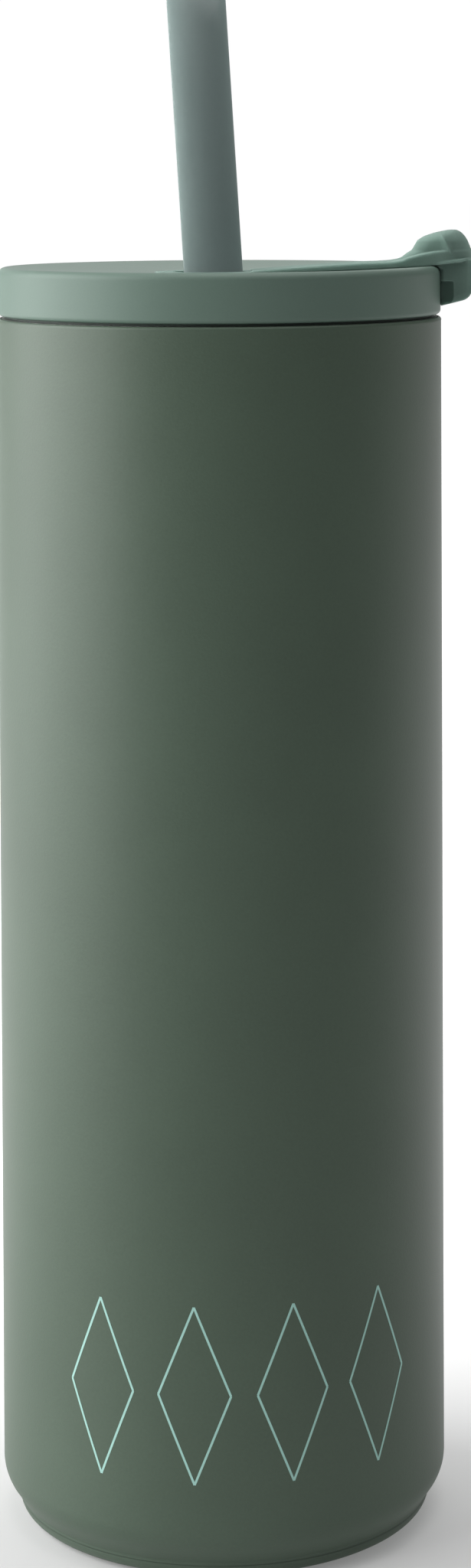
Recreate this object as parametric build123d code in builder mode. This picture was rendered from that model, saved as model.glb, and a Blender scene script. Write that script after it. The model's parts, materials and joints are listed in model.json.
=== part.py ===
from build123d import *
import math
import os

# Insulated tumbler with a push-in straw lid. Millimetres, +Z up. The origin is the centre of the face
# that it stands on, the cup's axis is Z, and the silicone stopper lies along +X.

# ---- driving dimensions ----
CUP_RADIUS = 35.0
CUP_HEIGHT = 188.25
STEEL = 0.7  # wall of the shell, the base and the liner's lip
SEAM_GAP = 0.4  # shadow gap between the cup's rim and the lid's skirt
FIT_GAP = 0.1  # round faces that sit in one another and turn
SOFT_GAP = 0.25  # loose faces that must not touch

# Foot of the cup: a rounded shoulder, a slant and a narrower base.
SHOULDER_Z = 8.2
SHOULDER_BEND = 5.8
SLANT_ANGLE = 35.0
NECK_RADIUS = 32.4
BASE_RADIUS = 32.5
BASE_ROUNDING = 2.1
BASE_RIM_Z = 0.3

# Recess of the base with its anti-slip pad, and the dimple that holds the vacuum port.
PAD_RADIUS = 23.9
PAD_THICKNESS = 1.8
DIMPLE_RADIUS = 4.2
DIMPLE_DEPTH = 1.4
PORT_RADIUS = 0.5

# Glass bead in the port and the roundings of small edges.
BEAD_RADIUS = 3.2
BEAD_HEIGHT = 0.9
PAD_ROUNDING = 0.4
RIM_ROUNDING = 0.5
LIP_ROUNDING = 0.3

# Drinking vessel and what the vacuum holds.
LINER_INSIDE_RADIUS = 32.0
LINER_WALL = 0.6
LINER_FLOOR_Z = 9.1
LINER_CORNER = 6.0
FOIL_RADIUS = 32.75
FOIL_THICKNESS = 0.25
FOIL_FROM_Z = 17.0
FOIL_TO_Z = 178.0
GETTER_X = 13.0
GETTER_RADIUS = 3.5
GETTER_HEIGHT = 2.0
BRACKET_THICKNESS = 0.4
BRACKET_WIDTH = 4.0
BRACKET_FOOT = 3.0

# Lid.
LID_RADIUS = 34.9
SKIRT_HEIGHT = 7.75
DISH_DEPTH = 1.15
LID_TOP_ROUNDING = 1.2
LID_FOOT_ROUNDING = 0.7
SKIRT_WALL = 2.2
CAP_THICKNESS = 2.25  # at the middle of the dish
INSERT_RADIUS = 30.8
INSERT_WALL = 2.6
INSERT_DEPTH = 10.2  # below the lid's skirt
INSERT_FLOOR = 1.8
FLANGE_THICKNESS = 1.8
GROOVE_DEPTH = 1.2
GROOVE_HEIGHT = 2.0
GROOVE_FROM_Z = 182.6
INSERT_HOLE_RADIUS = 6.9
SLEEVE_DEPTH = 7.4  # of the gasket, below the lid's skirt
SLEEVE_WALL = 0.5
GASKET_FLANGE_RADIUS = 33.6
FIN_COUNT = 3
FIN_PITCH = 1.9
FIN_RISE = 1.2
FIN_EDGE = 0.3

# Stopper: grommet ring, strap, plug and finger tab.
HOLE_X = -1.6
BORE_RADIUS = 5.5
RING_FOOT_RADIUS = 8.6
RING_TOP_RADIUS = 6.1
RING_BELOW_LID_TOP = 0.7
GROMMET_NECK_RADIUS = 7.0
GROMMET_LIP_RADIUS = 8.3
GROMMET_LIP_HEIGHT = 1.3
GROMMET_WALL = 0.6
RING_EDGE = 0.25
STRAP_WIDTH = 12.0
STRAP_RISE = 0.1  # its top, above the lid's top, at the fold
FOLD_X = 16.8
PLUG_REACH = 4.7  # from the plug's axis to the stopper's end
TAB_DROP = 6.8  # below the lid's top
TAB_ROOT = 1.2  # above the lid's top, inside the strap
TAB_WIDTH = 9.0
TAB_HEEL = 2.9  # where the tab's underside turns up, outside the plug's axis
TAB_SLOPE = 0.6
TAB_TIP = 3.3
TIP_ANGLE = 8.0  # the tip rises outside the lid
SCOOP_RADIUS = 1.9
SCOOP_BELOW_LID_TOP = 4.15

# Outlines of the stopper's end seen from the front: distance from the plug's axis, height above the lid.
STRAP_OUTLINE = ((PLUG_REACH, 2.3), (0.0, 2.2), (-4.8, 1.4), (-8.7, 0.55))
KNOB_OUTLINE = ((-5.3, 1.2), (-3.7, 4.1), (-0.6, 5.25), (3.0, 5.5), (4.2, 3.6), (PLUG_REACH, 2.0))
KNOB_ROUNDING = 0.7
KNOB_MIDDLE = -0.3  # of its oval plan, from the plug's axis
KNOB_LENGTH = 10.0
KNOB_WIDTH = 9.4

# Straw: it leans in its hole.
STRAW_RADIUS = 4.65
STRAW_WALL = 1.2
STRAW_LEAN_X = -3.4
STRAW_LEAN_Y = -3.0
STRAW_AT_LID = (-1.0, -0.2)
STRAW_ABOVE_LID = 43.3

# ---- places worked out from them ----
SKIRT_Z = CUP_HEIGHT + SEAM_GAP
LID_TOP_Z = SKIRT_Z + SKIRT_HEIGHT
CEILING_Z = LID_TOP_Z - DISH_DEPTH - CAP_THICKNESS
SLANT = math.radians(SLANT_ANGLE)
BEND_END = (
    CUP_RADIUS - SHOULDER_BEND * (1 - math.cos(SLANT)),
    SHOULDER_Z - SHOULDER_BEND * math.sin(SLANT),
)
NECK_Z = BEND_END[1] - (BEND_END[0] - NECK_RADIUS) / math.tan(SLANT)
PAD_RECESS_RADIUS = PAD_RADIUS + SOFT_GAP
PLUG_X = 2 * FOLD_X - HOLE_X
STOPPER_END_X = PLUG_X + PLUG_REACH
STRAP_TOP_Z = LID_TOP_Z + STRAP_RISE
SCOOP_Z = LID_TOP_Z - SCOOP_BELOW_LID_TOP
DIMPLE_Z = PAD_THICKNESS + DIMPLE_DEPTH

os.makedirs("parts", exist_ok=True)


def lid_surface(x):
    """Height of the dished top of the lid at a distance from its middle."""
    return LID_TOP_Z - DISH_DEPTH * (1 - (x / LID_RADIUS) ** 2)


def barrel(inset, mode=Mode.ADD):
    """The cup's outer form, filled, with its whole outline moved in by the inset."""
    bend = SHOULDER_BEND - inset
    bend_end = (BEND_END[0] - inset * math.cos(SLANT), BEND_END[1] + inset * math.sin(SLANT))
    neck = (bend_end[0] - (bend_end[1] - NECK_Z) * math.tan(SLANT), NECK_Z)
    with BuildSketch(Plane.XZ) as outline:
        with BuildLine():
            Line((0, CUP_HEIGHT), (CUP_RADIUS - inset, CUP_HEIGHT))
            Line((CUP_RADIUS - inset, CUP_HEIGHT), (CUP_RADIUS - inset, SHOULDER_Z))
            CenterArc((CUP_RADIUS - SHOULDER_BEND, SHOULDER_Z), bend, 0, -SLANT_ANGLE)
            Line(bend_end, neck)
            Line(neck, (0, NECK_Z))
            Line((0, NECK_Z), (0, CUP_HEIGHT))
        make_face()
    revolve(outline.sketch, axis=Axis.Z, mode=mode)


def disc(radius, from_z, to_z, mode=Mode.ADD):
    """A round plate on the cup's axis."""
    with BuildSketch(Plane.XY.offset(from_z)) as plate:
        Circle(radius)
    extrude(plate.sketch, amount=to_z - from_z, mode=mode)


def tank(radius, floor_z, corner, mode=Mode.ADD):
    """A filled vessel with a rounded floor, up to the cup's rim."""
    with BuildSketch(Plane.XZ) as outline:
        with BuildLine():
            FilletPolyline((0, floor_z), (radius, floor_z), (radius, CUP_HEIGHT), radius=corner)
            Polyline((radius, CUP_HEIGHT), (0, CUP_HEIGHT), (0, floor_z))
        make_face()
    revolve(outline.sketch, axis=Axis.Z, mode=mode)


def block(inner, outer, low, high):
    """One rectangle of a ring's section, between two radii and two heights."""
    with Locations((inner, low)):
        Rectangle(outer - inner, high - low, align=(Align.MIN, Align.MIN))


# ---- cup ----
with BuildPart() as outer_shell:
    barrel(0)
    fillet(outer_shell.edges().filter_by(GeomType.CIRCLE).sort_by(Axis.Z)[-1], RIM_ROUNDING)
    barrel(STEEL, Mode.SUBTRACT)
outer_shell.part.label = "outer_shell"
export_step(outer_shell.part, "parts/outer_shell.step")

with BuildPart() as inner_liner:
    tank(LINER_INSIDE_RADIUS + LINER_WALL, LINER_FLOOR_Z - LINER_WALL, LINER_CORNER + LINER_WALL)
    disc(CUP_RADIUS - STEEL, CUP_HEIGHT - STEEL, CUP_HEIGHT)
    tank(LINER_INSIDE_RADIUS, LINER_FLOOR_Z, LINER_CORNER, Mode.SUBTRACT)
    rim_edges = inner_liner.edges().filter_by(GeomType.CIRCLE).group_by(Axis.Z)[-1]
    fillet(rim_edges.sort_by(SortBy.RADIUS)[0], LIP_ROUNDING)
inner_liner.part.label = "inner_liner"
export_step(inner_liner.part, "parts/inner_liner.step")

with BuildPart() as base_cap:
    with BuildSketch(Plane.XZ):
        with BuildLine():
            FilletPolyline(
                (PORT_RADIUS, DIMPLE_Z),
                (DIMPLE_RADIUS, DIMPLE_Z),
                (DIMPLE_RADIUS + STEEL, PAD_THICKNESS),
                (PAD_RECESS_RADIUS, PAD_THICKNESS),
                (PAD_RECESS_RADIUS + STEEL, BASE_RIM_Z),
                (BASE_RADIUS, BASE_RIM_Z),
                (BASE_RADIUS, NECK_Z),
                radius=(0.2, 0.2, 0.4, 0.4, BASE_ROUNDING),
            )
            Line((BASE_RADIUS, NECK_Z), (BASE_RADIUS - STEEL, NECK_Z))
            FilletPolyline(
                (BASE_RADIUS - STEEL, NECK_Z),
                (BASE_RADIUS - STEEL, BASE_RIM_Z + STEEL),
                (PAD_RECESS_RADIUS + 2 * STEEL, BASE_RIM_Z + STEEL),
                (PAD_RECESS_RADIUS + STEEL, PAD_THICKNESS + STEEL),
                (DIMPLE_RADIUS + 2 * STEEL, PAD_THICKNESS + STEEL),
                (DIMPLE_RADIUS + STEEL, DIMPLE_Z + STEEL),
                (PORT_RADIUS, DIMPLE_Z + STEEL),
                radius=(BASE_ROUNDING - STEEL, 0.4, 0.4, 0.2, 0.2),
            )
            Line((PORT_RADIUS, DIMPLE_Z + STEEL), (PORT_RADIUS, DIMPLE_Z))
        make_face()
    revolve(axis=Axis.Z)
base_cap.part.label = "base_cap"
export_step(base_cap.part, "parts/base_cap.step")

with BuildPart() as seal_bead:
    disc(BEAD_RADIUS, DIMPLE_Z - BEAD_HEIGHT, DIMPLE_Z)
    fillet(seal_bead.edges().sort_by(Axis.Z)[0], BEAD_HEIGHT / 2)
    disc(PORT_RADIUS, DIMPLE_Z, DIMPLE_Z + STEEL)
seal_bead.part.label = "seal_bead"
export_step(seal_bead.part, "parts/seal_bead.step")

with BuildPart() as base_pad:
    disc(PAD_RADIUS, 0, PAD_THICKNESS)
    fillet(base_pad.edges().sort_by(Axis.Z)[0], PAD_ROUNDING)
base_pad.part.label = "base_pad"
export_step(base_pad.part, "parts/base_pad.step")

with BuildPart() as reflector_foil:
    disc(FOIL_RADIUS + FOIL_THICKNESS, FOIL_FROM_Z, FOIL_TO_Z)
    disc(FOIL_RADIUS, FOIL_FROM_Z, FOIL_TO_Z, Mode.SUBTRACT)
reflector_foil.part.label = "reflector_foil"
export_step(reflector_foil.part, "parts/reflector_foil.step")

GETTER_Z = PAD_THICKNESS + STEEL
with BuildPart() as getter:
    with BuildSketch(Plane.XY.offset(GETTER_Z)):
        with Locations((GETTER_X, 0)):
            Circle(GETTER_RADIUS)
    extrude(amount=GETTER_HEIGHT)
    fillet(getter.edges().sort_by(Axis.Z)[-1], BRACKET_THICKNESS)
getter.part.label = "getter"
export_step(getter.part, "parts/getter.step")

with BuildPart() as getter_bracket:
    with BuildSketch(Plane.XZ.offset(-BRACKET_WIDTH / 2)):
        with BuildLine():
            bridge = GETTER_RADIUS + SOFT_GAP
            strip = Polyline(
                (GETTER_X - bridge - BRACKET_FOOT, GETTER_Z),
                (GETTER_X - bridge, GETTER_Z),
                (GETTER_X - bridge, GETTER_Z + GETTER_HEIGHT),
                (GETTER_X + bridge, GETTER_Z + GETTER_HEIGHT),
                (GETTER_X + bridge, GETTER_Z),
                (GETTER_X + bridge + BRACKET_FOOT, GETTER_Z),
            )
            offset(strip, BRACKET_THICKNESS, side=Side.LEFT, kind=Kind.INTERSECTION)
        make_face()
    extrude(amount=BRACKET_WIDTH)
getter_bracket.part.label = "getter_bracket"
export_step(getter_bracket.part, "parts/getter_bracket.step")

# ---- lid ----
with BuildPart() as lid_cap:
    with BuildSketch(Plane.XZ) as cap_section:
        with BuildLine():
            ThreePointArc(
                (0, lid_surface(0)),
                (LID_RADIUS / 2, lid_surface(LID_RADIUS / 2)),
                (LID_RADIUS, lid_surface(LID_RADIUS)),
            )
            Polyline(
                (LID_RADIUS, LID_TOP_Z),
                (LID_RADIUS, SKIRT_Z),
                (LID_RADIUS - SKIRT_WALL, SKIRT_Z),
                (LID_RADIUS - SKIRT_WALL, CEILING_Z),
                (0, CEILING_Z),
                (0, lid_surface(0)),
            )
        make_face()
        fillet(cap_section.vertices().group_by(Axis.X)[-1].sort_by(Axis.Y)[-1], LID_TOP_ROUNDING)
        fillet(cap_section.vertices().group_by(Axis.X)[-1].sort_by(Axis.Y)[0], LID_FOOT_ROUNDING)
    revolve(axis=Axis.Z)
    with Locations((HOLE_X, 0, CEILING_Z)):
        Hole(radius=GROMMET_NECK_RADIUS)
lid_cap.part.label = "lid_cap"
export_step(lid_cap.part, "parts/lid_cap.step")

INSERT_Z = SKIRT_Z - INSERT_DEPTH
with BuildPart() as lid_insert:
    disc(INSERT_RADIUS, INSERT_Z, CEILING_Z)
    fillet(lid_insert.edges().sort_by(Axis.Z)[0], LID_FOOT_ROUNDING)
    disc(LID_RADIUS - SKIRT_WALL - FIT_GAP, SKIRT_Z, SKIRT_Z + FLANGE_THICKNESS)
    disc(INSERT_RADIUS - INSERT_WALL, INSERT_Z + INSERT_FLOOR, CEILING_Z, Mode.SUBTRACT)
    with BuildSketch(Plane.XZ):
        block(INSERT_RADIUS - GROOVE_DEPTH, INSERT_RADIUS, GROOVE_FROM_Z, GROOVE_FROM_Z + GROOVE_HEIGHT)
    revolve(axis=Axis.Z, mode=Mode.SUBTRACT)
    with Locations((HOLE_X, 0, INSERT_Z)):
        Hole(radius=INSERT_HOLE_RADIUS)
lid_insert.part.label = "lid_insert"
export_step(lid_insert.part, "parts/lid_insert.step")

SLEEVE_RADIUS = INSERT_RADIUS + FIT_GAP
SLEEVE_Z = SKIRT_Z - SLEEVE_DEPTH
with BuildPart() as lid_gasket:
    with BuildSketch(Plane.XZ):
        block(SLEEVE_RADIUS, SLEEVE_RADIUS + SLEEVE_WALL, SLEEVE_Z, SKIRT_Z - FIT_GAP)
        block(SLEEVE_RADIUS, GASKET_FLANGE_RADIUS, CUP_HEIGHT + FIT_GAP / 2, SKIRT_Z - FIT_GAP / 2)
        block(
            INSERT_RADIUS - GROOVE_DEPTH + FIT_GAP,
            SLEEVE_RADIUS,
            GROOVE_FROM_Z + FIT_GAP,
            GROOVE_FROM_Z + GROOVE_HEIGHT - FIT_GAP,
        )
        for fin in range(FIN_COUNT):
            fin_z = SLEEVE_Z + FIN_PITCH * fin
            fin_root = SLEEVE_RADIUS + SLEEVE_WALL / 2
            fin_tip = LINER_INSIDE_RADIUS - FIT_GAP
            with BuildLine():
                Polyline(
                    (fin_root, fin_z),
                    (fin_tip, fin_z + FIN_RISE),
                    (fin_tip, fin_z + FIN_RISE + FIN_EDGE),
                    (fin_root, fin_z + FIN_RISE),
                    close=True,
                )
            make_face()
    revolve(axis=Axis.Z)
lid_gasket.part.label = "lid_gasket"
export_step(lid_gasket.part, "parts/lid_gasket.step")

# ---- stopper ----
HOLE_AXIS = Axis((HOLE_X, 0, 0), (0, 0, 1))
HOLE_SECTION = Plane(origin=(HOLE_X, 0, 0), x_dir=(1, 0, 0), z_dir=(0, -1, 0))
RING_TOP_Z = LID_TOP_Z - RING_BELOW_LID_TOP
RING_FOOT_Z = lid_surface(RING_FOOT_RADIUS - HOLE_X)
GROMMET_LIP_Z = CEILING_Z - GROMMET_LIP_HEIGHT
with BuildPart() as stopper_ring:
    with BuildSketch(HOLE_SECTION):
        with BuildLine():
            Polyline(
                (0, RING_TOP_Z),
                (RING_TOP_RADIUS, RING_TOP_Z),
                (RING_FOOT_RADIUS, RING_FOOT_Z + RING_EDGE),
                (RING_FOOT_RADIUS, RING_FOOT_Z),
                (GROMMET_NECK_RADIUS - FIT_GAP, RING_FOOT_Z),
                (GROMMET_NECK_RADIUS - FIT_GAP, CEILING_Z),
                (GROMMET_LIP_RADIUS, CEILING_Z),
                (GROMMET_NECK_RADIUS, GROMMET_LIP_Z),
                (0, GROMMET_LIP_Z),
                close=True,
            )
        make_face()
    revolve(axis=HOLE_AXIS)
    with BuildSketch(Plane.XZ.offset(-STRAP_WIDTH / 2)):
        with BuildLine():
            root_end = FOLD_X - FIT_GAP / 2
            Polyline(
                (0, RING_FOOT_Z),
                (root_end, lid_surface(root_end) + SOFT_GAP),
                (root_end, STRAP_TOP_Z),
                (RING_TOP_RADIUS, RING_TOP_Z),
                (0, RING_TOP_Z),
                close=True,
            )
        make_face()
    extrude(amount=STRAP_WIDTH)
    with BuildSketch(HOLE_SECTION):
        with BuildLine():
            Polyline(
                (0, RING_TOP_Z),
                (BORE_RADIUS, RING_TOP_Z),
                (BORE_RADIUS, RING_FOOT_Z),
                (GROMMET_NECK_RADIUS - GROMMET_WALL, GROMMET_LIP_Z),
                (0, GROMMET_LIP_Z),
                close=True,
            )
        make_face()
    revolve(axis=HOLE_AXIS, mode=Mode.SUBTRACT)
stopper_ring.part.label = "stopper_ring"
export_step(stopper_ring.part, "parts/stopper_ring.step")

RIM_CLEAR_Z = LID_TOP_Z + SOFT_GAP
TIP_RISE = (STOPPER_END_X - LID_RADIUS) * math.tan(math.radians(TIP_ANGLE))
ARM_START_X = FOLD_X + FIT_GAP / 2
TAB_START_X = LID_RADIUS + SOFT_GAP
TAB_Z = LID_TOP_Z - TAB_DROP
TAB_ROOT_Z = LID_TOP_Z + TAB_ROOT
TRIM_X = STOPPER_END_X + FIT_GAP
with BuildPart() as knob:
    with BuildSketch(Plane.XZ.offset(-KNOB_WIDTH / 2)):
        with BuildLine():
            crown = FilletPolyline(
                *[(PLUG_X + x, LID_TOP_Z + z) for x, z in KNOB_OUTLINE], radius=KNOB_ROUNDING
            )
            Line(crown @ 1, crown @ 0)
        make_face()
    extrude(amount=KNOB_WIDTH)
    with BuildSketch(Plane.XY.offset(LID_TOP_Z)):
        with Locations((PLUG_X + KNOB_MIDDLE, 0)):
            Ellipse(KNOB_LENGTH / 2, KNOB_WIDTH / 2)
    extrude(amount=SKIRT_HEIGHT, mode=Mode.INTERSECT)

with BuildPart() as stopper_arm:
    with BuildSketch(Plane.XZ.offset(-TAB_WIDTH / 2)):
        with BuildLine():
            Polyline(
                (TAB_START_X, TAB_ROOT_Z),
                (TAB_START_X, TAB_Z),
                (PLUG_X + TAB_HEEL, TAB_Z + TAB_SLOPE),
                (TRIM_X, TAB_Z + TAB_TIP),
                (TRIM_X, TAB_ROOT_Z),
                close=True,
            )
        make_face()
    extrude(amount=TAB_WIDTH)
    scoop_y = TAB_WIDTH / 2 + FIT_GAP
    with Locations((LID_RADIUS, -scoop_y, SCOOP_Z), (LID_RADIUS, scoop_y, SCOOP_Z)):
        Sphere(SCOOP_RADIUS, mode=Mode.SUBTRACT)
    with BuildSketch(Plane.XZ.offset(-STRAP_WIDTH / 2)):
        with BuildLine():
            Polyline(
                (ARM_START_X, lid_surface(ARM_START_X) + SOFT_GAP),
                (LID_RADIUS - LID_TOP_ROUNDING, RIM_CLEAR_Z),
                (TRIM_X, RIM_CLEAR_Z + TIP_RISE),
                (TRIM_X, LID_TOP_Z + STRAP_OUTLINE[0][1]),
                *[(PLUG_X + x, LID_TOP_Z + z) for x, z in STRAP_OUTLINE[1:]],
                (ARM_START_X, STRAP_TOP_Z),
                close=True,
            )
        make_face()
    extrude(amount=STRAP_WIDTH)
    with BuildSketch(Plane.XY.offset(TAB_Z)):
        with Locations((ARM_START_X - FIT_GAP, 0)):
            Rectangle(PLUG_X - ARM_START_X + FIT_GAP, STRAP_WIDTH, align=(Align.MIN, Align.CENTER))
        with Locations((PLUG_X, 0)):
            Ellipse(PLUG_REACH, STRAP_WIDTH / 2)
    extrude(amount=2 * SKIRT_HEIGHT, mode=Mode.INTERSECT)
    add(knob.part)
stopper_arm.part.label = "stopper_arm"
export_step(stopper_arm.part, "parts/stopper_arm.step")

# ---- straw ----
lean = Vector(math.tan(math.radians(STRAW_LEAN_X)), math.tan(math.radians(STRAW_LEAN_Y)), 1)
STRAW_FOOT_Z = LINER_FLOOR_Z + SOFT_GAP + STRAW_RADIUS * math.hypot(lean.X, lean.Y)
straw_foot = Vector(*STRAW_AT_LID, LID_TOP_Z) - lean * (LID_TOP_Z - STRAW_FOOT_Z)
STRAW_LENGTH = (LID_TOP_Z + STRAW_ABOVE_LID - STRAW_FOOT_Z) * lean.length
with BuildPart() as straw:
    with BuildSketch(Plane(origin=straw_foot, z_dir=lean)):
        Circle(STRAW_RADIUS)
        Circle(STRAW_RADIUS - STRAW_WALL, mode=Mode.SUBTRACT)
    extrude(amount=STRAW_LENGTH)
straw.part.label = "straw"
export_step(straw.part, "parts/straw.step")
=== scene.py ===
import bmesh
import bpy
import json
import math
from mathutils import Matrix, Vector


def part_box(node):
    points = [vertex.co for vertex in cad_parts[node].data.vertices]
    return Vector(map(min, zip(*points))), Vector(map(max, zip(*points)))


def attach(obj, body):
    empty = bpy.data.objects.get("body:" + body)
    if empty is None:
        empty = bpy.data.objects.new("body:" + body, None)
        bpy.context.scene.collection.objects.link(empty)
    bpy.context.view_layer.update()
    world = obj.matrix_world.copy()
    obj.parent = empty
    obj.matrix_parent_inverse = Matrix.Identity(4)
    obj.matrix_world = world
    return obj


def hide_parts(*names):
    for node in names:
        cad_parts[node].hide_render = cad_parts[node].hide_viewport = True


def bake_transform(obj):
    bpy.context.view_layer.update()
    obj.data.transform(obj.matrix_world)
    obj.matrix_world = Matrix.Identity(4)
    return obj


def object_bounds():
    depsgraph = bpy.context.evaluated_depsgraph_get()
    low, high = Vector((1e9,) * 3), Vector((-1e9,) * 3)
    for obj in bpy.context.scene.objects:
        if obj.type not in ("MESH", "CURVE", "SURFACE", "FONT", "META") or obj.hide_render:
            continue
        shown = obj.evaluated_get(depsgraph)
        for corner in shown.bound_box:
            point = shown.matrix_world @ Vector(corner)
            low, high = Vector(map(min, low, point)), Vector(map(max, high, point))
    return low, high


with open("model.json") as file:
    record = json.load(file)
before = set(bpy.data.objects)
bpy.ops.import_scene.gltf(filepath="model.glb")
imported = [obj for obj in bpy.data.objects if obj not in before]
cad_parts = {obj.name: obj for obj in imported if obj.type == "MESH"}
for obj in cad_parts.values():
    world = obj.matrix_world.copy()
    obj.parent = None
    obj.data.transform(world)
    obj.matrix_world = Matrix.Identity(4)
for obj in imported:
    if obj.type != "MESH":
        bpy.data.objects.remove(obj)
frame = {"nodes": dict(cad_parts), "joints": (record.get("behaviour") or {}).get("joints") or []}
CAD_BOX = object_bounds()

# ---------------------------------------------------------------- sizes, in metres, from the frame
MM = 0.001
SHELL_LOW, SHELL_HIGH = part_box("outer_shell")
BASE_LOW, BASE_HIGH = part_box("base_cap")
LID_LOW, LID_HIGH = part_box("lid_cap")
STRAW_LOW, STRAW_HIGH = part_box("straw")
JOINTS = {joint["name"]: joint for joint in frame["joints"]}

# Cup: a straight wall, a neck pinched in above the base, and the base below it.
CUP_R = SHELL_HIGH.x
RIM_Z = SHELL_HIGH.z
NECK_R = 32.4 * MM
NECK_Z = SHELL_LOW.z
BASE_R = BASE_HIGH.x
BASE_Z = BASE_LOW.z
STEEL = 0.7 * MM

# Lid: a dished top over a short skirt.
LID_R = LID_HIGH.x
SKIRT_Z = LID_LOW.z
LID_TOP_Z = LID_HIGH.z
LID_EDGE = 1.2 * MM
DISH_DEPTH = 1.15 * MM
CEILING_Z = LID_TOP_Z - 3.4 * MM

# Stopper: a ring round the straw's hole, and a strap along X that folds beside it.
RING_FOOT_R = 8.6 * MM
HOLE_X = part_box("stopper_ring")[0].x + RING_FOOT_R
STOPPER_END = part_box("stopper_arm")[1].x
STRAP_HALF = 6.0 * MM
STRAP_EDGE = 0.32 * MM
TIP_LENGTH = 5.6 * MM
TIP_SLOPE = 0.12
CONTACT_GAP = 0.04 * MM
RIM_X = LID_R - LID_EDGE

# Straw: a tube that leans in its hole.
STRAW_AXIS = Vector(JOINTS["straw_lift"]["axis"]).normalized()
STRAW_R = 4.65 * MM
STRAW_BORE = 3.45 * MM
STRAW_AT_LID = Vector((-1.0 * MM, -0.2 * MM, LID_TOP_Z))


# ---------------------------------------------------------------- mesh helpers
SHARP_ANGLE = math.radians(32)


def rounded(corners, steps=10):
    """A closed outline from (radius, height, rounding) corners, each turned into an arc.

    A short straight is kept beside every arc, so that smooth shading stays flat on the flats."""
    outline = []
    count = len(corners)
    for index, (x, y, rounding) in enumerate(corners):
        here = Vector((x, y))
        before = Vector(corners[index - 1][:2]) - here
        after = Vector(corners[(index + 1) % count][:2]) - here
        if rounding <= 0:
            outline.append(here)
            continue
        one, two = before.normalized(), after.normalized()
        half = math.acos(max(-1.0, min(1.0, one.dot(two)))) / 2
        reach = rounding / math.tan(half)
        centre = here + (one + two).normalized() * (rounding / math.sin(half))
        start, end = here + one * reach, here + two * reach
        margin = min(rounding * 0.25, 0.3 * MM)
        if before.length > reach + 2 * margin:
            outline.append(start + one * margin)
        arm = start - centre
        turn = arm.angle_signed(end - centre)
        for step in range(steps + 1):
            angle = -turn * step / steps
            cos, sin = math.cos(angle), math.sin(angle)
            outline.append(centre + Vector((arm.x * cos - arm.y * sin, arm.x * sin + arm.y * cos)))
        if after.length > reach + 2 * margin:
            outline.append(end + two * margin)
    return outline


def finished_mesh(bm, name):
    """The mesh of a bmesh, with its faces turned outwards."""
    bmesh.ops.recalc_face_normals(bm, faces=bm.faces)
    mesh_data = bpy.data.meshes.new(name)
    bm.to_mesh(mesh_data)
    bm.free()
    return mesh_data


def linked_object(name, mesh_data):
    """A new object in the scene."""
    obj = bpy.data.objects.new(name, mesh_data)
    bpy.context.scene.collection.objects.link(obj)
    return obj


def new_object(name, mesh_data, material):
    """An object for a finished mesh, with its material and smooth faces split at real corners."""
    obj = linked_object(name, mesh_data)
    mesh_data.materials.append(material)
    mesh_data.polygons.foreach_set("use_smooth", [True] * len(mesh_data.polygons))
    mesh_data.set_sharp_from_angle(angle=SHARP_ANGLE)
    return obj


def turned(bm, outline, centre=(0.0, 0.0), segments=192):
    """Turn a closed outline of (radius, height) round a vertical axis. A point on the axis stays single."""
    rings = []
    for r, z in outline:
        if abs(r) < 1e-7:
            rings.append([bm.verts.new((centre[0], centre[1], z))])
            continue
        ring = []
        for k in range(segments):
            angle = 2 * math.pi * k / segments
            x = centre[0] + r * math.cos(angle)
            y = centre[1] + r * math.sin(angle)
            ring.append(bm.verts.new((x, y, z)))
        rings.append(ring)
    for index, ring in enumerate(rings):
        other = rings[(index + 1) % len(rings)]
        if len(ring) == 1 and len(other) == 1:
            continue
        for k in range(segments):
            n = (k + 1) % segments
            if len(ring) == 1:
                bm.faces.new((ring[0], other[k], other[n]))
            elif len(other) == 1:
                bm.faces.new((ring[k], other[0], ring[n]))
            else:
                bm.faces.new((ring[k], other[k], other[n], ring[n]))


def lathe(name, outline, material, segments):
    """A turned object round the cup's axis."""
    bm = bmesh.new()
    turned(bm, outline, segments=segments)
    return new_object(name, finished_mesh(bm, name), material)


def loft(bm, sections):
    """Skin a row of closed sections with the same number of points, and close both ends."""
    rows = [[bm.verts.new(point) for point in section] for section in sections]
    for a, b in zip(rows, rows[1:]):
        for k in range(len(a)):
            n = (k + 1) % len(a)
            bm.faces.new((a[k], a[n], b[n], b[k]))
    bm.faces.new(rows[0])
    bm.faces.new(rows[-1])


# ---------------------------------------------------------------- materials
DRIFT_SCALE = 45.0
ROUGHNESS_DRIFT = 0.04
MIX_FACTOR, MIX_A, MIX_B, MIX_RESULT = 0, 6, 7, 2  # the colour sockets of a mix node


def srgb(r, g, b):
    """A colour given as 0-255 screen values, as the linear colour that a shader needs."""
    linear = [c / 255 / 12.92 if c <= 10 else ((c / 255 + 0.055) / 1.055) ** 2.4 for c in (r, g, b)]
    return (*linear, 1.0)


def map_range(tree, source, from_range, to_range, smooth=False):
    """Carry a value from one range to another, and give the result's socket."""
    node = tree.nodes.new("ShaderNodeMapRange")
    if smooth:
        node.interpolation_type = "SMOOTHSTEP"
    node.inputs["From Min"].default_value = from_range[0]
    node.inputs["From Max"].default_value = from_range[1]
    node.inputs["To Min"].default_value = to_range[0]
    node.inputs["To Max"].default_value = to_range[1]
    tree.links.new(source, node.inputs["Value"])
    return node.outputs["Result"]


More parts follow.
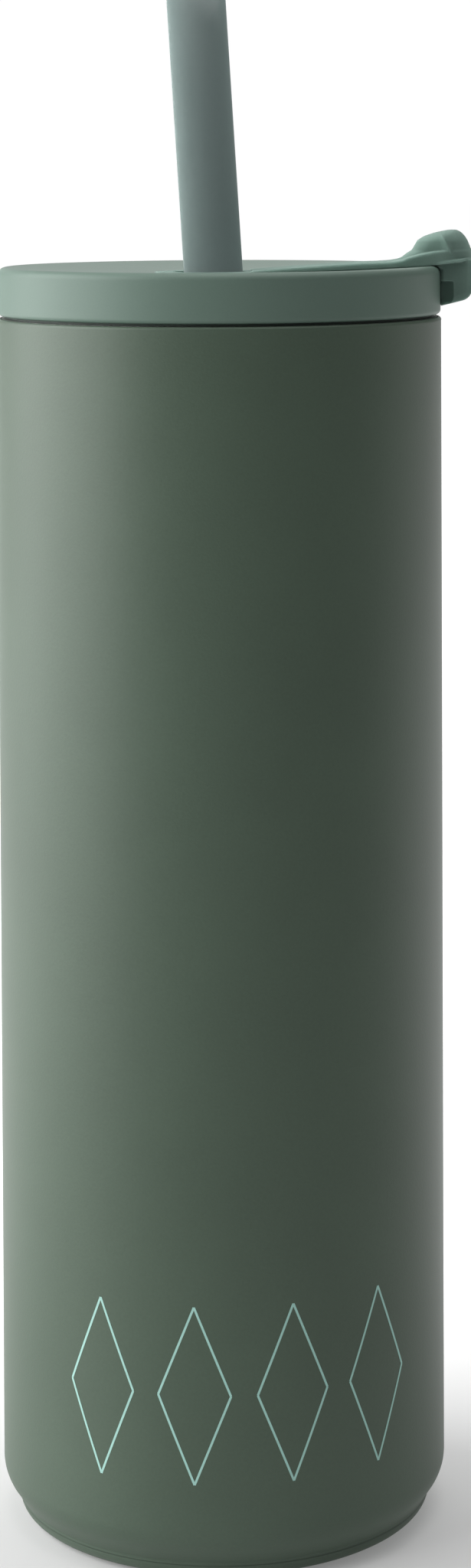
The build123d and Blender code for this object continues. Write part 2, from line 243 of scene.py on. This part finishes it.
def relief(tree, height, strength, distance):
    """Turn a height into fine relief on the shader of a material."""
    dents = tree.nodes.new("ShaderNodeBump")
    dents.inputs["Strength"].default_value = strength
    dents.inputs["Distance"].default_value = distance
    tree.links.new(height, dents.inputs["Height"])
    tree.links.new(dents.outputs["Normal"], tree.nodes["Principled BSDF"].inputs["Normal"])


def noise(tree, scale, detail):
    """A noise fixed to the object, and its value's socket."""
    place = tree.nodes.new("ShaderNodeTexCoord")
    texture = tree.nodes.new("ShaderNodeTexNoise")
    texture.inputs["Scale"].default_value = scale
    texture.inputs["Detail"].default_value = detail
    tree.links.new(place.outputs["Object"], texture.inputs["Vector"])
    return texture.outputs["Fac"]


def surface(name, colour, roughness, grain, bump=0.0, mottle=0.06, **sockets):
    """A moulded, sprayed or pressed surface: its colour drifts a little, and fine noise gives it a grain."""
    material = bpy.data.materials.new(name)
    material.use_nodes = True
    tree = material.node_tree
    shader = tree.nodes["Principled BSDF"]
    for socket, value in sockets.items():
        shader.inputs[socket.replace("_", " ")].default_value = value

    drift = noise(tree, scale=DRIFT_SCALE, detail=2.0)
    speckle = noise(tree, scale=grain, detail=3.0)
    both = tree.nodes.new("ShaderNodeMath")
    both.operation = "ADD"
    tree.links.new(drift, both.inputs[0])
    tree.links.new(speckle, both.inputs[1])
    tint = tree.nodes.new("ShaderNodeMix")
    tint.data_type = "RGBA"
    tint.inputs[MIX_A].default_value = [c * (1 - mottle) for c in colour[:3]] + [1.0]
    tint.inputs[MIX_B].default_value = [c * (1 + mottle) for c in colour[:3]] + [1.0]
    shade = map_range(tree, both.outputs["Value"], from_range=(0.6, 1.4), to_range=(0.0, 1.0))
    tree.links.new(shade, tint.inputs[MIX_FACTOR])
    tree.links.new(tint.outputs[MIX_RESULT], shader.inputs["Base Color"])

    least, most = roughness - ROUGHNESS_DRIFT, roughness + ROUGHNESS_DRIFT
    rough = map_range(tree, speckle, from_range=(0.0, 1.0), to_range=(least, most))
    tree.links.new(rough, shader.inputs["Roughness"])
    if bump:
        relief(tree, speckle, strength=bump, distance=0.05 * MM)
    return material


def brushed(name, colour, roughness):
    """Spun steel: fine lines that run round the cup's axis."""
    material = surface(name, colour, roughness, grain=2500.0, Metallic=1.0)
    tree = material.node_tree
    place = tree.nodes.new("ShaderNodeTexCoord")
    apart = tree.nodes.new("ShaderNodeSeparateXYZ")
    tree.links.new(place.outputs["Object"], apart.inputs["Vector"])
    lines = tree.nodes.new("ShaderNodeTexNoise")
    lines.noise_dimensions = "1D"
    lines.inputs["Scale"].default_value = 3000.0
    tree.links.new(apart.outputs["Z"], lines.inputs["W"])
    relief(tree, lines.outputs["Fac"], strength=0.25, distance=0.02 * MM)
    return material


# A colour given as three small numbers is linear. Screen values go through srgb().
COAT = surface(
    "powder_coat", (0.063, 0.099, 0.067), roughness=0.48, grain=2600.0, bump=0.35, mottle=0.1,
    Specular_IOR_Level=0.55,
)
LID_PLASTIC = surface(
    "lid_plastic", (0.119, 0.182, 0.148), roughness=0.5, grain=3200.0, bump=0.18, mottle=0.04,
    Specular_IOR_Level=0.45,
)
INSERT_PLASTIC = surface(
    "insert_plastic", (0.118, 0.182, 0.147), roughness=0.46, grain=1800.0, bump=0.1, mottle=0.03
)
SILICONE = surface(
    "stopper_silicone", (0.178, 0.264, 0.228), roughness=0.75, grain=2200.0, bump=0.15, mottle=0.04,
    Subsurface_Weight=0.8, Subsurface_Scale=2 * MM, Subsurface_Radius=(1.0, 1.0, 1.0),
    Specular_IOR_Level=0.1,
)
# The faint even glow stands for the light that comes through the straw's thin wall.
STRAW_PLASTIC = surface(
    "straw_plastic", (0.114, 0.146, 0.140), roughness=0.75, grain=1500.0, bump=0.12, mottle=0.03,
    Subsurface_Weight=1.0, Subsurface_Scale=9 * MM, Subsurface_Radius=(1.0, 1.0, 1.0),
    Specular_IOR_Level=0.05, Emission_Color=(0.8, 1.0, 0.99, 1.0), Emission_Strength=0.053,
)
# The seal's very dark grey-green is partly its own colour-matched tone and partly painted shade that deepens
# the seam line under the lid.
SEAL = surface("seal_silicone", (0.045, 0.066, 0.054), roughness=0.6, grain=1500.0, bump=0.1, mottle=0.02)
PAD = surface("pad_rubber", srgb(66, 76, 68), roughness=0.8, grain=1800.0, bump=0.3)
STEEL_INSIDE = brushed("bare_steel", srgb(222, 222, 220), roughness=0.38)
FOIL = surface("reflector_foil", srgb(215, 214, 210), roughness=0.18, grain=500.0, bump=0.6, Metallic=1.0)
GETTER_METAL = surface(
    "getter_metal", srgb(110, 110, 112), roughness=0.7, grain=3000.0, bump=0.5, Metallic=0.8
)
SEAL_GLASS = surface(
    "seal_glass", srgb(190, 200, 194), roughness=0.12, grain=900.0, bump=0.05, Transmission_Weight=0.6
)
PRINT = surface("line_print", srgb(168, 214, 204), roughness=0.5, grain=2600.0, bump=0.1, mottle=0.03)

for node, material in {
    "inner_liner": STEEL_INSIDE,
    "reflector_foil": FOIL,
    "getter": GETTER_METAL,
    "getter_bracket": STEEL_INSIDE,
    "seal_bead": SEAL_GLASS,
    "base_pad": PAD,
    "lid_insert": INSERT_PLASTIC,
    "lid_gasket": SEAL,
}.items():
    frame["nodes"][node].data.materials.clear()
    frame["nodes"][node].data.materials.append(material)


# ---------------------------------------------------------------- cup
def make_skin():
    """The coated outside of the cup: the wall, necked in over the base that is welded to it, in one skin."""
    slant = math.tan(math.radians(35.0))
    bend_z = NECK_Z + (CUP_R - NECK_R) / slant
    crease_z = NECK_Z + (BASE_R - NECK_R) / slant
    bend_rounding = 5.8 * MM
    base_rounding = 2.1 * MM
    recess_r = 24.15 * MM
    pad_z = 1.8 * MM
    port_r = 0.5 * MM
    dimple_r = 4.2 * MM
    dimple_z = pad_z + 1.4 * MM
    inside = [
        (CUP_R - STEEL, RIM_Z, 0.15 * MM),
        (CUP_R - STEEL, bend_z, bend_rounding - STEEL),
        (BASE_R - STEEL, crease_z, 0.2 * MM),
        (BASE_R - STEEL, BASE_Z + STEEL, base_rounding - STEEL),
        (recess_r + 2 * STEEL, BASE_Z + STEEL, 0.3 * MM),
        (recess_r + STEEL, pad_z + STEEL, 0.3 * MM),
        (dimple_r + 2 * STEEL, pad_z + STEEL, 0.2 * MM),
        (dimple_r + STEEL, dimple_z + STEEL, 0.2 * MM),
        (port_r, dimple_z + STEEL, 0.0),
    ]
    outside = [
        (port_r, dimple_z, 0.0),
        (dimple_r, dimple_z, 0.3 * MM),
        (dimple_r + STEEL, pad_z, 0.4 * MM),
        (recess_r, pad_z, 0.3 * MM),
        (recess_r + STEEL, BASE_Z, 0.5 * MM),
        (BASE_R, BASE_Z, base_rounding),
        (BASE_R, crease_z, 0.9 * MM),
        (CUP_R, bend_z, bend_rounding),
        (CUP_R, RIM_Z, 0.5 * MM),
    ]
    skin = lathe("skin", rounded(inside + outside), COAT, segments=256)
    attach(skin, "cup")
    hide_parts("outer_shell", "base_cap")


# ---------------------------------------------------------------- lid
def lid_surface(r):
    """Height of the lid's dished top at a distance from its middle."""
    return LID_TOP_Z - DISH_DEPTH * (1 - (r / LID_R) ** 2)


def make_lid():
    """The moulded lid: a dished top with rounded edges over a short skirt."""
    wall = 2.2 * MM
    hole = 7.0 * MM
    dish_steps = 12
    dish = [LID_R * k / dish_steps for k in range(3, dish_steps)]
    corners = [(hole, lid_surface(hole), 0.3 * MM)]
    corners += [(r, lid_surface(r), 0.0) for r in dish]
    corners += [
        (LID_R, LID_TOP_Z, LID_EDGE),
        (LID_R, SKIRT_Z, 0.7 * MM),
        (LID_R - wall, SKIRT_Z, 0.2 * MM),
        (LID_R - wall, CEILING_Z, 0.6 * MM),
        (hole, CEILING_Z, 0.2 * MM),
    ]
    cap = lathe("lid", rounded(corners, steps=12), LID_PLASTIC, segments=256)
    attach(cap, "lid")
    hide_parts("lid_cap")


# ---------------------------------------------------------------- straw
def make_straw():
    """A straight tube with softly rounded ends, leaning in its hole."""
    tilt_reach = STRAW_R * math.hypot(STRAW_AXIS.x, STRAW_AXIS.y)
    foot_z = STRAW_LOW.z + tilt_reach
    top_z = STRAW_HIGH.z - tilt_reach
    length = (top_z - foot_z) / STRAW_AXIS.z
    foot = STRAW_AT_LID + STRAW_AXIS * ((foot_z - STRAW_AT_LID.z) / STRAW_AXIS.z)
    ends = ((STRAW_BORE, 0.0), (STRAW_R, 0.0), (STRAW_R, length), (STRAW_BORE, length))
    outline = rounded([(r, z, 0.35 * MM) for r, z in ends], steps=6)
    tube = lathe("straw_tube", outline, STRAW_PLASTIC, segments=96)
    tube.data.transform(Matrix.Translation(foot) @ STRAW_AXIS.to_track_quat("Z", "Y").to_matrix().to_4x4())
    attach(tube, "straw")
    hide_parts("straw")


# ---------------------------------------------------------------- stopper
# Top of the strap along X, as rows of X and height. Millimetres; heights are above the lid's top.
STRAP_TOP = (
    (-1.6, -0.92), (3.8, -0.86), (7.7, -0.52), (12.0, -0.2), (17.4, 0.15), (22.3, 0.42), (25.3, 0.5),
    (27.2, 0.62), (28.6, 0.85), (29.5, 1.25), (31.5, 1.8), (33.5, 2.2), (35.5, 2.4), (39.9, 2.45),
)
# Ends of the knob's sections upwards, as rows of height, left end and right end, in the same way.
KNOB_ENDS = (
    (0.4, 28.4, 39.8),
    (1.2, 28.85, 39.85),
    (1.8, 29.6, 39.85),
    (2.35, 30.5, 39.8),
    (2.9, 30.8, 39.65),
    (3.85, 31.35, 39.25),
    (4.5, 32.4, 38.85),
    (5.0, 33.9, 38.4),
    (5.3, 35.2, 38.0),
    (5.5, 36.3, 37.5),
)
LEFT, RIGHT = 1, 2  # columns of KNOB_ENDS


def interpolate(table, at, column=1):
    """A value from a table of rising rows, in straight steps between its rows."""
    if at <= table[0][0]:
        return table[0][column]
    for a, b in zip(table, table[1:]):
        if at <= b[0]:
            return a[column] + (b[column] - a[column]) * (at - a[0]) / (b[0] - a[0])
    return table[-1][column]


def clamped(value):
    """A value kept between 0 and 1."""
    return min(1.0, max(0.0, value))


def crowding(start, stop, count, power):
    """Places from start to stop that stand closer together towards the end."""
    return [start + (stop - start) * (1 - (1 - k / count) ** power) for k in range(count + 1)]


def strap_bottom(x, y):
    """Underside of the strap: on the lid's dish, then over its rim and rising a little beyond it."""
    if math.hypot(x, y) < RIM_X and x < RIM_X:
        return lid_surface(math.hypot(x, y)) + CONTACT_GAP
    return LID_TOP_Z + CONTACT_GAP + max(0.0, x - RIM_X) * TIP_SLOPE


def strap_half(x):
    """Half the strap's width: even, then rounded at its free end, a little squarer than a circle."""
    turn = STOPPER_END - TIP_LENGTH
    if x <= turn:
        return STRAP_HALF
    t = (x - turn) / (STOPPER_END - turn)
    return STRAP_HALF * max(0.0, 1 - t**2.4) ** (1 / 2.2)


def slab_section(x, half, top, bottom, edge, across=16, round_steps=5):
    """Cross-section of a strap at one X: its underside, then its top with rounded edges."""
    points = []
    for k in range(across + 1):
        y = -half + 2 * half * k / across
        points.append((x, y, bottom(x, y)))
    edge = min(edge, half * 0.9)
    for sign in (1, -1):
        steps = range(round_steps + 1) if sign == 1 else range(round_steps, -1, -1)
        for step in steps:
            angle = math.pi / 2 * step / round_steps
            y = sign * (half - edge + edge * math.cos(angle))
            points.append((x, y, top - edge + edge * math.sin(angle)))
    return points


def strap_mesh(bm):
    """The flat strap from the ring to the rounded end under the knob."""
    least_half = 0.3 * MM
    sections = []
    for x in crowding(HOLE_X + 6.6 * MM, STOPPER_END - 0.02 * MM, count=90, power=1.6):
        top = LID_TOP_Z + interpolate(STRAP_TOP, x / MM) * MM
        sections.append(slab_section(x, max(strap_half(x), least_half), top, strap_bottom, STRAP_EDGE))
    loft(bm, sections)


def lip_mesh(bm):
    """A thin lip round the end's lower edge, which grows out of the strap's sides."""
    thick = 0.45 * MM
    out = 0.5 * MM
    edge = 0.12 * MM
    least_half = 0.5 * MM
    last_x = STOPPER_END - 0.03 * MM
    count = 40
    sections = []
    for k, x in enumerate(crowding(RIM_X + 0.2 * MM, STOPPER_END, count, power=1.8)):
        half = strap_half(min(x, last_x)) + out * min(1.0, 2.5 * k / count)
        top = strap_bottom(x, 0.0) + thick
        sections.append(slab_section(x, max(half, least_half), top, lip_bottom, edge))
    loft(bm, sections)


def lip_bottom(x, _):
    """Underside of the lip: the strap's underside at its middle line, level across."""
    return strap_bottom(x, 0.0)


def knob_half(x, z, left, right):
    """Half the knob's width: hollowed on its left up to a ridge, as wide as the strap's end on its right.

    All in millimetres, with z above the lid's top; left and right are the knob's ends at that height."""
    hollow, bead_high, bead_wide, nose_long = 4.6, 0.32, 0.5, 3.0
    crown_z, crown_high = 3.6, 1.9
    waist = 3.4 + 0.12 * z
    ridge = 35.4 + 0.5 * (3.5 - z)
    shoulder = strap_half(33.0 * MM) / MM - 0.15
    full = clamped(1 - (ridge - x) / hollow) ** 2.2
    bead = bead_high * math.exp(-(((x - ridge) / bead_wide) ** 2))
    width = waist + (shoulder - waist) * full
    nose = (1 - clamped((left + nose_long - x) / nose_long) ** 2.5) ** 0.4
    tail = strap_half((x + STOPPER_END / MM - right) * MM) / STRAP_HALF
    crown = 1 - 0.3 * max(0.0, (z - crown_z) / crown_high) ** 2
    return (width + bead) * nose * tail * crown


def knob_mesh(bm):
    """The knob that plugs the hole when the strap is folded over, with a thumb scoop each side."""
    along, layers = 48, 40
    low, high = KNOB_ENDS[0][0], KNOB_ENDS[-1][0]
    sections = []
    for layer in range(layers + 1):
        z = low + (high - low) * layer / layers
        left, right = interpolate(KNOB_ENDS, z, LEFT), interpolate(KNOB_ENDS, z, RIGHT)
        level = LID_TOP_Z + z * MM
        front, back = [], []
        for step in range(1, along):
            x = left + (right - left) * (1 - math.cos(math.pi * step / along)) / 2
            half = knob_half(x, z, left, right)
            front.append((x * MM, -half * MM, level))
            back.append((x * MM, half * MM, level))
        sections.append([(left * MM, 0.0, level)] + front + [(right * MM, 0.0, level)] + back[::-1])
    loft(bm, sections)


def tab_mesh(bm):
    """The finger tab that hangs outside the lid, as a block with rounded edges."""
    half, edge, corner = 4.5, 0.8, 2.0
    inner, outer = 33.6, 39.75
    top, inner_low, outer_low = 0.9, -6.72, -5.2
    slices = 24
    sections = []
    for k in range(slices + 1):
        y = -half + 2 * half * k / slices
        near = max(0.0, abs(y) - (half - edge)) / edge
        inset = edge * (1 - math.sqrt(max(0.0, 1 - near**2)))
        corners = (
            (inner, top, 0.0),
            (inner, inner_low + inset, 0.25),
            (outer - inset, outer_low + inset, corner - inset),
            (outer - inset, top, 0.0),
        )
        outline = rounded([(x * MM, z * MM, rounding * MM) for x, z, rounding in corners], steps=6)
        sections.append([(x, y * MM, LID_TOP_Z + z) for x, z in outline])
    loft(bm, sections)


def ring_mesh(bm):
    """The ring round the straw and the grommet under it, turned round the hole's axis."""
    bore = 5.5 * MM
    collar = 6.4 * MM
    neck = 6.9 * MM
    flange = 8.3 * MM
    flange_low = CEILING_Z - 1.3 * MM
    foot_z = lid_surface(RING_FOOT_R - HOLE_X) + CONTACT_GAP
    outline = rounded(
        [
            (bore, LID_TOP_Z - 0.92 * MM, 0.12 * MM),
            (collar, LID_TOP_Z - 0.9 * MM, 0.4 * MM),
            (RING_FOOT_R, foot_z + 0.08 * MM, 0.05 * MM),
            (RING_FOOT_R, foot_z - 0.35 * MM, 0.0),
            (neck, foot_z - 0.45 * MM, 0.0),
            (neck, CEILING_Z, 0.0),
            (flange, CEILING_Z - 0.1 * MM, 0.1 * MM),
            (7.0 * MM, flange_low, 0.1 * MM),
            (collar, flange_low, 0.1 * MM),
            (bore, LID_TOP_Z - 2.2 * MM, 0.3 * MM),
        ],
        steps=4,
    )
    turned(bm, outline, (HOLE_X, 0.0), segments=96)


def scoop(bm, out, radius, low, high, rounding):
    """A round cutter beside each edge of the tab, next to the lid.

    Millimetres: out is the axis's distance from the middle, low and high are heights above the lid's top."""
    axis_x = 32.9 * MM
    outline = rounded(
        [
            (0, LID_TOP_Z + low * MM, 0),
            (radius * MM, LID_TOP_Z + low * MM, rounding * MM),
            (radius * MM, LID_TOP_Z + high * MM, 0.3 * MM),
            (0, LID_TOP_Z + high * MM, 0),
        ],
        steps=6,
    )
    for side in (-1, 1):
        turned(bm, outline, (axis_x, side * out * MM), segments=128)


def deep_scoop(bm):
    """The dark hollow in the tab's edge."""
    scoop(bm, out=6.6, radius=4.4, low=-6.3, high=-2.5, rounding=0.9)


def shallow_scoop(bm):
    """The shallow hollow above it, where the tab hangs on the strap."""
    scoop(bm, out=6.9, radius=3.3, low=-2.9, high=-0.45, rounding=0.3)


def lid_room(bm):
    """The lid's outside, a hair larger, to be cut from the tab that lies against it."""
    out, top, low = LID_R + CONTACT_GAP, LID_TOP_Z + CONTACT_GAP, SKIRT_Z - 1 * MM
    turned(bm, rounded([(0, low, 0), (out, low, 0), (out, top, LID_EDGE), (0, top, 0)], steps=12))


def solid(build):
    """One closed mesh object, made by a function that fills a bmesh."""
    bm = bmesh.new()
    build(bm)
    return linked_object(build.__name__, finished_mesh(bm, build.__name__))


def applied(obj):
    """Turn an object's modifiers into its mesh."""
    shaped = bpy.data.meshes.new_from_object(obj.evaluated_get(bpy.context.evaluated_depsgraph_get()))
    obj.modifiers.clear()
    obj.data = shaped


def cut_tab():
    """The finger tab, with its hollows and the lid's room cut away."""
    tab = solid(tab_mesh)
    cutters = [solid(build) for build in (deep_scoop, shallow_scoop, lid_room)]
    for cutter in cutters:
        cut = tab.modifiers.new(cutter.name, "BOOLEAN")
        cut.operation = "DIFFERENCE"
        cut.object = cutter
    applied(tab)
    for cutter in cutters:
        bpy.data.objects.remove(cutter)
    return tab


def make_stopper():
    """One silicone moulding: ring, strap, knob and finger tab, melted together with soft creases."""
    parts = [solid(strap_mesh), solid(lip_mesh), solid(knob_mesh), cut_tab(), solid(ring_mesh)]
    bm = bmesh.new()
    for part in parts:
        bm.from_mesh(part.data)
        bpy.data.objects.remove(part)
    mesh_data = bpy.data.meshes.new("stopper")
    bm.to_mesh(mesh_data)
    bm.free()
    stopper = new_object("stopper", mesh_data, SILICONE)
    melt = stopper.modifiers.new("melt", "REMESH")
    melt.mode = "VOXEL"
    melt.voxel_size = 0.115 * MM
    soften = stopper.modifiers.new("soften", "SMOOTH")
    soften.factor = 0.5
    soften.iterations = 2
    applied(stopper)
    stopper.data.polygons.foreach_set("use_smooth", [True] * len(stopper.data.polygons))
    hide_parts("stopper_ring", "stopper_arm")
    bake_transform(stopper)


# ---------------------------------------------------------------- line graphic
LINE_WIDE = 0.34 * MM
LINE_HIGH = 0.03 * MM


def stroke(bm, start, end, steps=16):
    """One printed line, as a thin strip wrapped on the cup. Places are (distance round the cup, height)."""
    along = (Vector(end) - Vector(start)).normalized()
    side = Vector((-along.y, along.x)) * LINE_WIDE / 2
    rows = []
    for step in range(steps + 1):
        middle = Vector(start).lerp(Vector(end), step / steps)
        left, right = middle - side, middle + side
        row = []
        for place, lift in ((left, 0.0), (left, LINE_HIGH), (right, LINE_HIGH), (right, 0.0)):
            r, angle = CUP_R + lift, place.x / CUP_R
            row.append(bm.verts.new((r * math.sin(angle), -r * math.cos(angle), place.y)))
        rows.append(row)
    for a, b in zip(rows, rows[1:]):
        for k in range(4):
            n = (k + 1) % 4
            bm.faces.new((a[k], a[n], b[n], b[k]))
    bm.faces.new(rows[0])
    bm.faces.new(rows[-1][::-1])


def make_print():
    """A band of slim diamond outlines, printed as thin raised lines low on the cup."""
    low, high = LID_TOP_Z - 180.7 * MM, LID_TOP_Z - 154.0 * MM
    waist = (low + high) / 2
    half_width = 5.5 * MM
    first, spacing, diamonds = -19.5, 15.0, 4
    bm = bmesh.new()
    for k in range(diamonds):
        middle = (first + spacing * k) * MM
        left, right = (middle - half_width, waist), (middle + half_width, waist)
        top, bottom = (middle, high), (middle, low)
        for start, end in ((left, top), (top, right), (right, bottom), (bottom, left)):
            stroke(bm, start, end)
    graphic = new_object("line_print", finished_mesh(bm, "line_print"), PRINT)
    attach(graphic, "cup")


# ---------------------------------------------------------------- camera and studio
def make_camera():
    """The view of the front: a long lens a little above the lid, shifted down to take in the whole cup."""
    before_axis = 513.63 * MM
    above_lid = 15.27 * MM
    data = bpy.data.cameras.new("camera")
    data.sensor_width = 36.0
    data.lens = 74.63
    data.shift_x = -0.03315
    data.shift_y = -0.3328
    camera = linked_object("camera", data)
    camera.location = (0.0, -before_axis, LID_TOP_Z + above_lid)
    level = 90
    turn = Matrix.Rotation(math.radians(-1.202), 4, "Z")
    tilt = Matrix.Rotation(math.radians(level - 1.65), 4, "X")
    roll = Matrix.Rotation(math.radians(-0.222), 4, "Z")
    camera.rotation_euler = (turn @ tilt @ roll).to_euler()
    bpy.context.scene.camera = camera


def soft_light(name, place, target, size, watts):
    """A rectangular softbox aimed at a point."""
    data = bpy.data.lights.new(name, "AREA")
    data.shape = "RECTANGLE"
    data.size, data.size_y = size
    data.energy = watts
    light = linked_object(name, data)
    light.location = place
    light.rotation_euler = (Vector(target) - Vector(place)).to_track_quat("-Z", "Y").to_euler()


def make_backdrop():
    """Light from all round, dim in front and white behind the cup, where it reaches a little upwards."""
    around, behind = 0.21, 1.01
    white_from, white_to = 0.93, 0.97
    upward = 0.35
    world = bpy.data.worlds.new("studio")
    bpy.context.scene.world = world
    world.use_nodes = True
    tree = world.node_tree
    place = tree.nodes.new("ShaderNodeTexCoord")
    apart = tree.nodes.new("ShaderNodeSeparateXYZ")
    tree.links.new(place.outputs["Generated"], apart.inputs["Vector"])
    facing = tree.nodes.new("ShaderNodeMath")
    facing.operation = "MULTIPLY_ADD"
    facing.inputs[1].default_value = upward
    tree.links.new(apart.outputs["Z"], facing.inputs[0])
    tree.links.new(apart.outputs["Y"], facing.inputs[2])
    strength = map_range(tree, facing.outputs["Value"], (white_from, white_to), (around, behind), smooth=True)
    background = tree.nodes["Background"]
    tree.links.new(strength, background.inputs["Strength"])
    background.inputs["Color"].default_value = (1.0, 1.0, 1.0, 1.0)


def make_floor_material():
    """Pale paper that is lit from within: faintly under the cup, and up to white behind it."""
    rise_behind_cup = ((-0.12, 0.2), (0.02, 0.75))
    rise_far_back = ((0.3, 2.0), (0.0, 0.3))
    material = bpy.data.materials.new("floor")
    material.use_nodes = True
    tree = material.node_tree
    shader = tree.nodes["Principled BSDF"]
    shader.inputs["Base Color"].default_value = (0.58, 0.58, 0.58, 1.0)
    shader.inputs["Roughness"].default_value = 0.9
    shader.inputs["Emission Color"].default_value = (1.0, 1.0, 1.0, 1.0)
    place = tree.nodes.new("ShaderNodeTexCoord")
    apart = tree.nodes.new("ShaderNodeSeparateXYZ")
    tree.links.new(place.outputs["Object"], apart.inputs["Vector"])
    glow = tree.nodes.new("ShaderNodeMath")
    glow.operation = "ADD"
    for index, (places, strengths) in enumerate((rise_behind_cup, rise_far_back)):
        rise = map_range(tree, apart.outputs["Y"], places, strengths, smooth=True)
        tree.links.new(rise, glow.inputs[index])
    tree.links.new(glow.outputs["Value"], shader.inputs["Emission Strength"])
    return material


def make_floor():
    """The floor that the cup stands on, far larger than the view."""
    bm = bmesh.new()
    bmesh.ops.create_grid(bm, x_segments=8, y_segments=8, size=4.0)
    floor_mesh = bpy.data.meshes.new("floor")
    bm.to_mesh(floor_mesh)
    bm.free()
    floor = linked_object("floor", floor_mesh)
    floor_mesh.materials.append(make_floor_material())
    floor.location.z = CAD_BOX[0].z


def make_studio():
    """A pale floor, a white wall of light behind, a large softbox on the left and a small one above."""
    bpy.context.scene.view_settings.view_transform = "Standard"
    make_backdrop()
    soft_light("softbox_left", (-0.85, -0.03, 0.45), target=(0, 0, 0.15), size=(1.3, 1.1), watts=18.3)
    soft_light("softbox_top", (0.1, 0.0, 0.95), target=(0, 0, 0.2), size=(0.7, 0.7), watts=3.4)
    make_floor()


make_camera()
make_studio()
make_skin()
make_lid()
make_straw()
make_stopper()
make_print()
